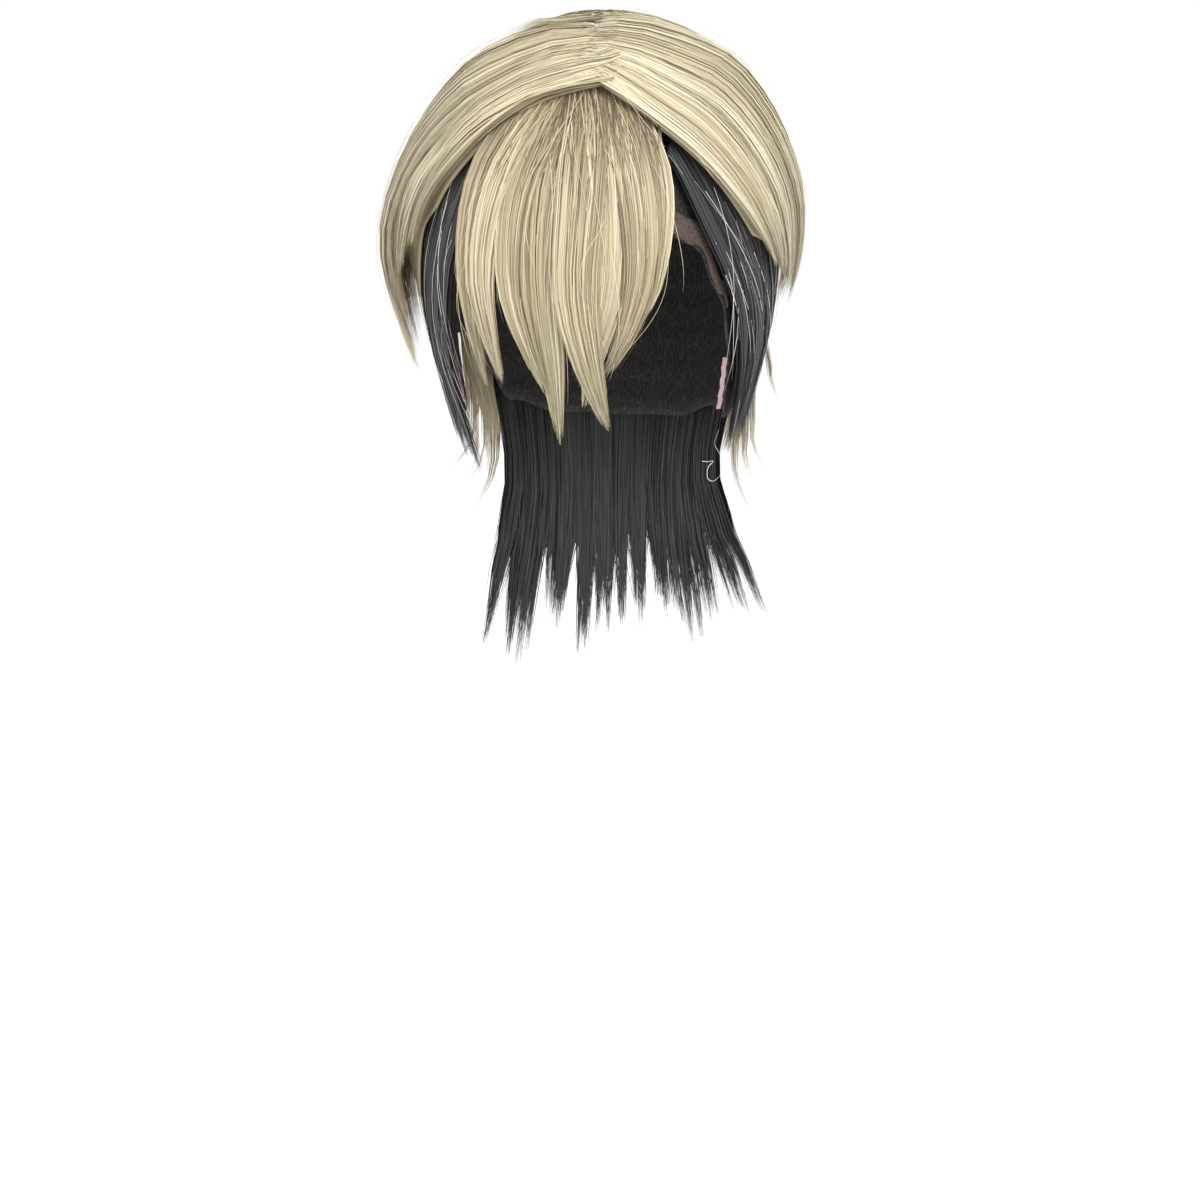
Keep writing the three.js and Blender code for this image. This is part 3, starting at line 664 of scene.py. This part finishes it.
def cap_net():
    """Dark elastic net: fine open mesh drawn by colour and bump, with sewn weft rows."""
    if found := bpy.data.materials.get("elastic_net"):
        return found
    net = Nodes("elastic_net")
    place = net.add("ShaderNodeUVMap", uv_map="Strand")
    cells = net.add("ShaderNodeTexVoronoi")
    cells.feature = "DISTANCE_TO_EDGE"
    cells.inputs["Scale"].default_value = 1.0
    stretch = net.add("ShaderNodeMapping")
    stretch.inputs["Scale"].default_value = (9.0, 260.0, 1.0)
    net.link(place.outputs["UV"], stretch.inputs["Vector"])
    net.link(stretch.outputs["Vector"], cells.inputs["Vector"])
    thread = net.math("LESS_THAN", cells.outputs["Distance"], 0.09)
    colours = bpy.context.scene.wig_colours
    net.link(net.ramp(thread, [(0.0, colours.net_deep), (1.0, colours.net)]), net.shader.inputs["Base Color"])
    net.bump(thread, 0.5, 0.0004)
    net.shader.inputs["Roughness"].default_value = 0.85
    return net.material


def lace_band():
    """Brown lace: a fine diamond net on Object coordinates."""
    if found := bpy.data.materials.get("brown_lace"):
        return found
    lace = Nodes("brown_lace")
    place = lace.add("ShaderNodeTexCoord")
    holes = lace.add("ShaderNodeTexVoronoi")
    holes.inputs["Scale"].default_value = 900
    lace.link(place.outputs["Object"], holes.inputs["Vector"])
    colours = bpy.context.scene.wig_colours
    lace.link(
        lace.ramp(holes.outputs["Distance"], [(0.1, colours.lace_deep), (0.55, colours.lace)]),
        lace.shader.inputs["Base Color"],
    )
    lace.bump(holes.outputs["Distance"], 0.6, 0.0004)
    lace.shader.inputs["Roughness"].default_value = 0.8
    return lace.material


def tab_trim():
    """Pale pink soft elastic with a fine rib, painted darker for the shade of the hair over it, with painted
    shade in the rib's grooves.
    """
    if found := bpy.data.materials.get("pink_elastic"):
        return found
    trim = Nodes("pink_elastic")
    place = trim.add("ShaderNodeTexCoord")
    rib = trim.add("ShaderNodeTexWave", bands_direction="Z")
    rib.inputs["Scale"].default_value = 420
    trim.link(place.outputs["Object"], rib.inputs["Vector"])
    colours = bpy.context.scene.wig_colours
    trim.link(
        trim.ramp(rib.outputs["Fac"], [(0.0, colours.trim_shadow), (0.6, colours.trim)]),
        trim.shader.inputs["Base Color"],
    )
    trim.bump(rib.outputs["Fac"], 0.4, 0.0003)
    trim.shader.inputs["Roughness"].default_value = 0.7
    trim.shader.inputs["Sheen Weight"].default_value = 0.3
    return trim.material


def colour_property(name, description, default):
    return bpy.props.FloatVectorProperty(
        name=name, description=description, subtype="COLOR", size=3, min=0, max=1, default=default,
    )


class WigSizes(bpy.types.PropertyGroup):
    """Sizes of the strands."""

    strand_width: bpy.props.FloatProperty(
        name="Strand Width", description="Width of a combed bundle of fibres", default=0.0005, min=0.0002,
        unit="LENGTH", precision=5,
    )
    stray_width: bpy.props.FloatProperty(
        name="Stray Width", description="Width of a single stray fibre", default=0.00019, min=0.00008,
        unit="LENGTH", precision=5,
    )
    amount: bpy.props.FloatProperty(
        name="Strand Amount", description="Share of the full strand count", default=1.0, min=0.05, max=1.1,
        subtype="FACTOR",
    )


class WigColours(bpy.types.PropertyGroup):
    """Colours of the fibres and the cap."""

    # The ramps' low stops colour random darker fibres and also the painted shade at roots, deep fibres and
    # underlays
    pale_light: colour_property("Pale Light", "Lightest blond fibre", (0.66, 0.60, 0.44))
    pale_middle: colour_property("Pale Middle", "Usual blond fibre", (0.47, 0.40, 0.25))
    pale_shadow: colour_property("Pale Shadow", "Darker blond fibre", (0.25, 0.195, 0.11))
    pale_deep: colour_property("Pale Deep", "Deep blond at the roots", (0.10, 0.078, 0.046))
    dark_light: colour_property("Dark Light", "Lightest dark fibre", (0.09, 0.09, 0.097))
    dark_brown: colour_property("Dark Brown", "Brownish dark fibre", (0.052, 0.045, 0.042))
    dark_middle: colour_property("Dark Middle", "Usual dark fibre", (0.040, 0.040, 0.043))
    dark_deep: colour_property("Dark Deep", "Deepest dark fibre", (0.018, 0.018, 0.019))
    stray: colour_property("Stray", "Silvery single fibre", (0.74, 0.72, 0.66))
    net: colour_property("Net", "Thread of the cap's net", (0.035, 0.03, 0.028))
    net_deep: colour_property("Net Deep", "Openings of the cap's net", (0.009, 0.008, 0.008))
    lace: colour_property("Lace", "Thread of the lace band", (0.075, 0.052, 0.042))
    lace_deep: colour_property("Lace Deep", "Openings of the lace band", (0.02, 0.014, 0.012))
    # trim is the elastic's pink painted darker with the hair's shade; trim_shadow is painted shade in the
    # rib's grooves
    trim: colour_property("Trim", "Ear tab trim", (0.46, 0.29, 0.31))
    trim_shadow: colour_property("Trim Shadow", "Rib of the ear tab trim", (0.27, 0.15, 0.17))
    floor: colour_property("Floor", "Pale floor", (0.95, 0.95, 0.95))


class WigStage(bpy.types.PropertyGroup):
    """Light and camera."""

    key_power: bpy.props.FloatProperty(
        name="Key Power", description="Power of the large light above the front", default=42.0, min=0,
        unit="POWER",
    )
    fill_power: bpy.props.FloatProperty(
        name="Fill Power", description="Power of the weak light on the other side", default=14.0, min=0,
        unit="POWER",
    )
    world_strength: bpy.props.FloatProperty(
        name="Surrounding Light", description="Strength of the plain white surroundings", default=1.05, min=0,
    )
    camera_distance: bpy.props.FloatProperty(
        name="Camera Distance", description="From the head's middle, along the floor", default=1.7, min=0.5,
        unit="LENGTH",
    )
    camera_turn: bpy.props.FloatProperty(
        name="Camera Turn", description="Camera's turn towards the wearer's left", default=math.radians(8),
        subtype="ANGLE",
    )


def seeded(number):
    return np.random.default_rng(2600 + number)


def amount(count):
    return max(1, int(count * bpy.context.scene.wig_sizes.amount))


def cap_edge_level(turn):
    apart = np.abs((np.asarray(turn, float) + 540) % 360 - 180)
    row = np.clip(np.searchsorted(CAP_EDGE[:, 0], apart, side="left"), 1, len(CAP_EDGE) - 1)
    low, high = CAP_EDGE[row - 1], CAP_EDGE[row]
    part = (apart - low[..., 0]) / (high[..., 0] - low[..., 0])
    return mix(low[..., 1], high[..., 1], ease(part))


def underlay(name, guides, reach, material, end, inner, sink, rise, tone, columns=20, steps=16):
    """The closed body of hair beneath the fibres. It thins out towards its sides, its roots and its hem.

    end is how far down the guides it runs, inner the lift of its inside, sink how deep its outside lies below
    the guides' lift, and rise how far in from its sides it is full. tone is how dark it is painted: painted
    shade of the hair's depth, which shows between the fibres.
    """
    def place(across, down, outer):
        points, lift = read_guides(guides, mix(reach[0], reach[1], across), down * end)
        bottom = np.minimum(inner, lift - 2 * sink)
        middle = ease(across / rise) * ease((1 - across) / rise)
        full = middle * ease((1 - down) / 0.35) * ease(0.2 + down / 0.12)
        thinnest = bottom + THIN_EDGE
        top = mix(thinnest, np.maximum(lift - sink, thinnest), full)
        return settle(points, top if outer else bottom)
    return shell(name, place, columns, steps, material, tone)


class WIG_OT_make_cap(bpy.types.Operator):
    """Make the net cap with its sewn weft rows"""

    bl_idname = "wig.make_cap"
    bl_label = "Make Cap"

    def execute(self, context):
        rows = 26
        weft_height = 0.0003

        def place(across, down, outer):
            turn = across * 360 - 180
            level = mix(1, cap_edge_level(turn), down)
            weft = weft_height * np.cos(down * rows * np.pi)
            points = on_head(turn, level)
            return settle(points, CAP_WALL if outer else weft * ease(down / 0.1))

        piece = shell("net_cap", place, 96, 2 * rows, cap_net(), closed=True)
        own(piece, "wig_cap")
        return {"FINISHED"}


class WIG_OT_make_band(bpy.types.Operator):
    """Make the lace band along the cap's front edge"""

    bl_idname = "wig.make_band"
    bl_label = "Make Lace Band"

    def execute(self, context):
        reach = 60
        top, hem = 0.072, 0.004
        scallop = 0.006
        thickness = 0.001

        def place(across, down, outer):
            turn = mix(-reach, reach, across)
            wave = scallop * np.sin(across * 90) ** 2 * (down > 0.99)
            level = cap_edge_level(turn) + mix(top, hem, down) - wave
            return settle(on_head(turn, level), BAND_FLOOR + (thickness if outer else 0))

        piece = shell("lace_hairline", place, 120, 6, lace_band())
        own(piece, "hairline_band")
        return {"FINISHED"}


class WIG_OT_make_trims(bpy.types.Operator):
    """Make the soft pink trim on both ear tabs"""

    bl_idname = "wig.make_trims"
    bl_label = "Make Ear Tab Trims"

    def execute(self, context):
        gap, width = 1.6, 2.3
        top, foot = -0.42, -0.68
        for side, name in ((1, "ear_tab_trim_left"), (-1, "ear_tab_trim_right")):
            turns = np.linspace(50, 74, 241)
            levels = cap_edge_level(turns)

            def place(across, down, outer, side=side):
                level = mix(top, foot, down)
                back = np.interp(-level, -levels, turns) - gap
                wavy = 0.35 * np.sin(down * 24) + 0.15 * np.sin(down * 57)
                turn = back - width * (1 - across) + wavy
                lift = mix(0.0003, 0.0017, np.sin(np.pi * across)) if outer else 0.0001
                return settle(on_head(side * turn, level), lift)

            piece = shell(f"{name}_elastic", place, 6, 24, tab_trim())
            own(piece, name)
        return {"FINISHED"}


class WIG_OT_make_sides(bpy.types.Operator):
    """Make the dark layers at the temples, with their silvery loose fibres"""

    bl_idname = "wig.make_sides"
    bl_label = "Make Side Layers"

    def execute(self, context):
        middle = (UNDER_FLOOR + UNDER_CEILING) / 2
        for number, (name, paths) in enumerate((("left", SIDE_LEFT), ("right", SIDE_RIGHT))):
            rng = seeded(10 + number)
            guides = layer_guides(paths, [[middle, middle, middle + 0.0006, middle]] * len(paths))
            fibres = comb(
                rng, guides, 2500, (-0.32, 3.6), clumps=48, clump_half=0.12, depth=(-0.0024, 0.0020),
                knots=13, locks=7, width=1.15, ragged=0.08, lock_ragged=0.06, gather=0.6,
                tone=0.42, clump_tone=0.12,
            )
            silver = loose_fibres(rng, guides, 40, (-0.35, 2.4), (0.001, 0.003), 0.8, length=(0.3, 0.7))
            parts = [(*fibres, 0), (*silver, 1)]
            if name == "left":
                parts.append((*loose_curl(), 1))
            piece = strand_piece(f"temple_strands_{name}", parts, rng, [dark_hair(), stray_hair()])
            own(piece, f"side_layer_{name}")
            # Its low tone is painted shade of the depth beneath the temple fibres
            body = underlay(
                f"temple_body_{name}", guides, (-0.15, 3.5), dark_hair(), end=0.62, inner=UNDER_FLOOR,
                sink=0.0006, rise=0.12, tone=0.2,
            )
            own(body, f"side_layer_{name}")
        return {"FINISHED"}


def loose_curl():
    """The one silvery fibre that hangs below the wearer's left ear tab in a small loop."""
    turns, levels = np.array(LOOSE_CURL, float).T
    lift = 0.012
    width = bpy.context.scene.wig_sizes.stray_width * 1.3
    line = smooth_path(on_head(turns, levels, lift), CURL_KNOTS)
    return line[None], np.full((1, CURL_KNOTS), width), np.array([[1.0]])


class WIG_OT_make_crown(bpy.types.Operator):
    """Make the pale layers from the parting over both sides"""

    bl_idname = "wig.make_crown"
    bl_label = "Make Crown Layers"

    def execute(self, context):
        for number, (name, locks, roots) in enumerate((
            ("left", CROWN_LEFT, ROOTS_LEFT), ("right", CROWN_RIGHT, ROOTS_RIGHT),
        )):
            rng = seeded(20 + number)
            guides = layer_guides(
                [path for path, _ in locks],
                [[share * CROWN_BULK for share in lift] for _, lift in locks],
                roots,
            )
            last = len(locks) - 1
            fibres = comb(
                rng, guides, 4900, (-0.06, last + 0.3), clumps=32 * last, clump_half=0.06,
                depth=(-0.0032, 0.0006), knots=18, locks=3 * last, ragged=0.08,
                lock_ragged=0.08, gather=0.7, gather_from=0.6, bulge=0.0007, sway=0.9, cross=(-0.005, 0.005),
                cross_reach=ROOT_REACH, tone=0.65, clump_tone=0.1,
            )
            flying = loose_fibres(rng, guides, 90, (-0.1, last + 0.3), (0.001, 0.0045), drift=0.4)
            parts = [(*fibres, 0), (*flying, 0)]
            if name == "right":
                for (path, lift), wide, count in ((CROWN_TUFT, 0.6, 120), (CROWN_BRIDGE, 0.6, 420)):
                    run = lock_guides(path, [share * CROWN_BULK for share in lift], wide)
                    bundle = comb(
                        rng, run, count, (0, 2), clumps=6, clump_half=0.5, depth=(-0.002, 0.0008),
                        knots=14, width=0.8, fray=0.5, gather=0.4, wander=0.0005,
                        cross=(-0.004, 0.004), cross_reach=0.3, tone=0.62, tone_spread=0.2,
                    )
                    parts.append((*bundle, 0))
            piece = strand_piece(f"crown_strands_{name}", parts, rng, [pale_hair()])
            own(piece, f"crown_layer_{name}")
            # Its lower tone is painted shade of the depth beneath the crown fibres
            body = underlay(
                f"crown_body_{name}", guides, (0.0, last + 0.2), pale_hair(), end=0.8, inner=TOP_FLOOR,
                sink=0.0028, rise=0.12, columns=30, steps=24, tone=0.45,
            )
            own(body, f"crown_layer_{name}")
        return {"FINISHED"}


class WIG_OT_make_fringe(bpy.types.Operator):
    """Make the pale fringe with its crossing roots and pointed locks"""

    bl_idname = "wig.make_fringe"
    bl_label = "Make Fringe"

    def execute(self, context):
        rng = seeded(30)
        root_step = 0.0012
        parts = []
        for index, (path, lift, wide) in enumerate(FRINGE):
            guides = lock_guides(path, [UNDER_FLOOR + share * FRINGE_LIFT for share in lift], wide)
            aside = (index - (len(FRINGE) - 1) / 2) * root_step
            first = 0.5 if index == 0 else 0
            for count, spread, reach in ((500, 0.005, 0.3), (80, 0.013, 0.42)):
                # shade paints the fringe's upper part darker: painted shade under the crown's front edge
                fibres = comb(
                    rng, guides, count, (first, 2), clumps=16, clump_half=0.12,
                    depth=(-0.0028, 0.0016), knots=16, width=0.95, ragged=0.10,
                    fray=0.2, gather=0.7, gather_from=0.45, sway=0.6,
                    cross=(aside - spread, aside + spread), cross_reach=reach,
                    tone=0.41 + 0.08 * (index % 2), tone_spread=0.14, clump_tone=0.12, shade=(0.36, 0.5),
                )
                parts.append((*fibres, 0))
            flying = loose_fibres(rng, guides, 7, (-0.4, 2.4), (0.001, 0.004), drift=0.8)
            parts.append((*flying, 0))
        piece = strand_piece("fringe_strands", parts, rng, [pale_hair()])
        own(piece, "fringe")
        paths = [path for path, _, _ in FRINGE]
        lifts = [[UNDER_FLOOR + share * FRINGE_LIFT for share in lift] for _, lift, _ in FRINGE]
        # Its low tone is painted shade: blond shadow that shows in the gaps between the fringe's locks
        body = underlay(
            "fringe_body", layer_guides(paths, lifts), (0.2, 6.9), pale_hair(), end=0.42,
            inner=UNDER_FLOOR + 0.001, sink=0.0018, rise=0.08, tone=0.2,
        )
        own(body, "fringe")
        return {"FINISHED"}


class WIG_OT_make_back(bpy.types.Operator):
    """Make the pale back layer with its flipped ends"""

    bl_idname = "wig.make_back"
    bl_label = "Make Back Layer"

    def execute(self, context):
        rng = seeded(40)
        half_depth = 0.00294
        root_lift = 0.0025
        floor = UNDER_FLOOR + half_depth
        paths, lifts = [], []
        for index in range(7):
            side = index / 3 - 1
            swell = BACK_BULK * (1 - abs(side) ** 4)
            paths.append([
                (180 + side * (50 + 8 * abs(side)), 0.95 - 0.3 * side * side), (180 + 61 * side, 0.5),
                (180 + 64 * side, 0.2), (180 + 64 * side, -0.2), (180 + 64 * side, -0.7),
                (180 + 60 * side, -1.12 - 0.14 * (index % 2) + 0.12 * (1 - abs(side) ** 4)),
            ])
            rises = [floor + share * swell for share in (0.4, 1, 1.2, 1.25, 2)]
            lifts.append([UNDER_FLOOR + root_lift, *rises])
        guides = layer_guides(paths, lifts)
        # shade paints the roots darker: painted shade at the crown's back
        fibres = comb(
            rng, guides, 4700, (-0.6, 6.6), clumps=180, clump_half=0.07, depth=(-0.0028, 0.0014),
            knots=14, locks=16, ragged=0.07, lock_ragged=0.06, gather=0.6,
            gather_from=0.6, lock_pull=0.3, sway=0.8, cross=(-0.004, 0.004), tone=0.56, clump_tone=0.1,
            shade=(0.2, 0.14),
        )
        flying = loose_fibres(rng, guides, 60, (-0.4, 6.4), (0.001, 0.004), drift=0.5)
        parts = [(*fibres, 0), (*flying, 0)]
        for path, lift, sides in FLIPPED_ENDS:
            for side in sides:
                turned = [(turn * side, level) for turn, level in path]
                run = lock_guides(turned, [floor + share * BACK_BULK for share in lift], 0.6)
                # shade paints their roots darker: painted shade under the back layer
                ends = comb(
                    rng, run, 100, (0, 2), clumps=5, clump_half=0.5, depth=(-0.0018, 0.0014),
                    knots=14, width=0.8, ragged=0.25, fray=0.25, gather=0.9,
                    tone=0.55, shade=(0.1, 0.3),
                )
                parts.append((*ends, 0))
        piece = strand_piece("back_strands", parts, rng, [pale_hair()])
        own(piece, "back_layer")
        # Its low tone is painted shade of the depth beneath the back fibres
        body = underlay(
            "back_body", guides, (-0.4, 6.4), pale_hair(), end=0.72, inner=UNDER_FLOOR, sink=0.0020,
            rise=0.06, columns=36, steps=24, tone=0.28,
        )
        own(body, "back_layer")
        return {"FINISHED"}


class WIG_OT_make_nape(bpy.types.Operator):
    """Make the long dark nape"""

    bl_idname = "wig.make_nape"
    bl_label = "Make Nape Curtain"

    def execute(self, context):
        rng = seeded(50)
        middle = (UNDER_FLOOR + UNDER_CEILING) / 2
        paths = [
            [(turn, -0.5), (turn, -1.1), (turn, -1.45), (turn + sway * 0.5, -1.9), (turn + sway, tip)]
            for turn, tip, sway, _ in NAPE
        ]
        shares = (0, 0, 0, 0.32, 0.71, 1)
        lifts = [[middle + share * flare * NAPE_FLARE for share in shares] for *_, flare in NAPE]
        guides = layer_guides(paths, lifts)
        fibres = comb(
            rng, guides, 4700, (-0.45, 9.45), clumps=80, clump_half=0.3, depth=(-0.0026, 0.0024),
            knots=12, locks=15, ragged=0.10, lock_ragged=0.12, fray=0.3,
            gather_from=0.45, lock_pull=0.55, wander=0.0006, sway=0.3, tone=0.48, tone_spread=0.16,
            clump_tone=0.06,
        )
        flying = loose_fibres(rng, guides, 60, (-0.5, 9.5), (0.001, 0.004), drift=0.5)
        piece = strand_piece("nape_strands", [(*fibres, 0), (*flying, 0)], rng, [dark_hair()])
        own(piece, "nape_curtain")
        return {"FINISHED"}


class WIG_OT_make_stage(bpy.types.Operator):
    """Make the camera, the floor and the studio light"""

    bl_idname = "wig.make_stage"
    bl_label = "Make Stage"

    def execute(self, context):
        stage = context.scene.wig_stage
        turn, far = stage.camera_turn, stage.camera_distance
        height = 0.169
        pitch = math.radians(75.5)
        floor_level = -0.75
        camera = bpy.data.objects.new("camera", bpy.data.cameras.new("camera"))
        camera.location = (far * math.sin(turn), -far * math.cos(turn), height)
        camera.rotation_euler = Euler((pitch, 0, turn))
        camera.data.lens = 108.4
        camera.data.sensor_width = 36
        context.scene.collection.objects.link(camera)
        context.scene.camera = camera

        for name, power, place in (
            ("key_light", stage.key_power, (0.95, -1.3, 1.4)),
            ("fill_light", stage.fill_power, (-1.5, -1.0, 0.5)),
        ):
            light = bpy.data.lights.new(name, "AREA")
            light.energy = power
            light.size = 1.2
            lamp = bpy.data.objects.new(name, light)
            lamp.location = place
            lamp.rotation_euler = (Vector((0, 0, -0.1)) - lamp.location).to_track_quat("-Z", "Y").to_euler()
            context.scene.collection.objects.link(lamp)

        world = bpy.data.worlds.new("plain_surroundings")
        world.use_nodes = True
        sky = world.node_tree.nodes["Background"]
        sky.inputs["Color"].default_value = (1, 1, 1, 1)
        sky.inputs["Strength"].default_value = stage.world_strength
        context.scene.world = world
        context.scene.view_settings.view_transform = "Standard"

        floor_paint = Nodes("pale_floor")
        colour = context.scene.wig_colours.floor
        floor_paint.shader.inputs["Base Color"].default_value = (*colour, 1)
        floor_paint.shader.inputs["Roughness"].default_value = 0.9
        bm = bmesh.new()
        bmesh.ops.create_grid(bm, x_segments=1, y_segments=1, size=60)
        bmesh.ops.translate(bm, verts=bm.verts[:], vec=(0, 0, floor_level))
        object_from(bm, "floor", floor_paint.material, smooth=False)
        return {"FINISHED"}


class WIG_PT_panel(bpy.types.Panel):
    """Panel with the wig's sizes, colours and pieces"""

    bl_label = "Layered Two-Tone Wig"
    bl_idname = "WIG_PT_panel"
    bl_space_type = "VIEW_3D"
    bl_region_type = "UI"
    bl_category = "Wig"

    def draw(self, context):
        for group in (context.scene.wig_sizes, context.scene.wig_colours, context.scene.wig_stage):
            for name in group.bl_rna.properties.keys():
                if name not in {"rna_type", "name"}:
                    self.layout.prop(group, name)
        for operator in OPERATORS:
            self.layout.operator(operator.bl_idname)


OPERATORS = (
    WIG_OT_make_stage, WIG_OT_make_cap, WIG_OT_make_band, WIG_OT_make_trims, WIG_OT_make_sides,
    WIG_OT_make_crown, WIG_OT_make_fringe, WIG_OT_make_back, WIG_OT_make_nape,
)
GROUPS = {"wig_sizes": WigSizes, "wig_colours": WigColours, "wig_stage": WigStage}


def register():
    for cls in (*GROUPS.values(), *OPERATORS, WIG_PT_panel):
        bpy.utils.register_class(cls)
    for name, group in GROUPS.items():
        setattr(bpy.types.Scene, name, bpy.props.PointerProperty(type=group))


def unregister():
    for name in GROUPS:
        delattr(bpy.types.Scene, name)
    for cls in (WIG_PT_panel, *reversed(OPERATORS), *reversed(GROUPS.values())):
        bpy.utils.unregister_class(cls)


def main():
    register()
    bpy.ops.wig.make_stage()
    bpy.ops.wig.make_cap()
    bpy.ops.wig.make_band()
    bpy.ops.wig.make_trims()
    bpy.ops.wig.make_sides()
    bpy.ops.wig.make_crown()
    bpy.ops.wig.make_fringe()
    bpy.ops.wig.make_back()
    bpy.ops.wig.make_nape()


if __name__ == "__main__":
    main()
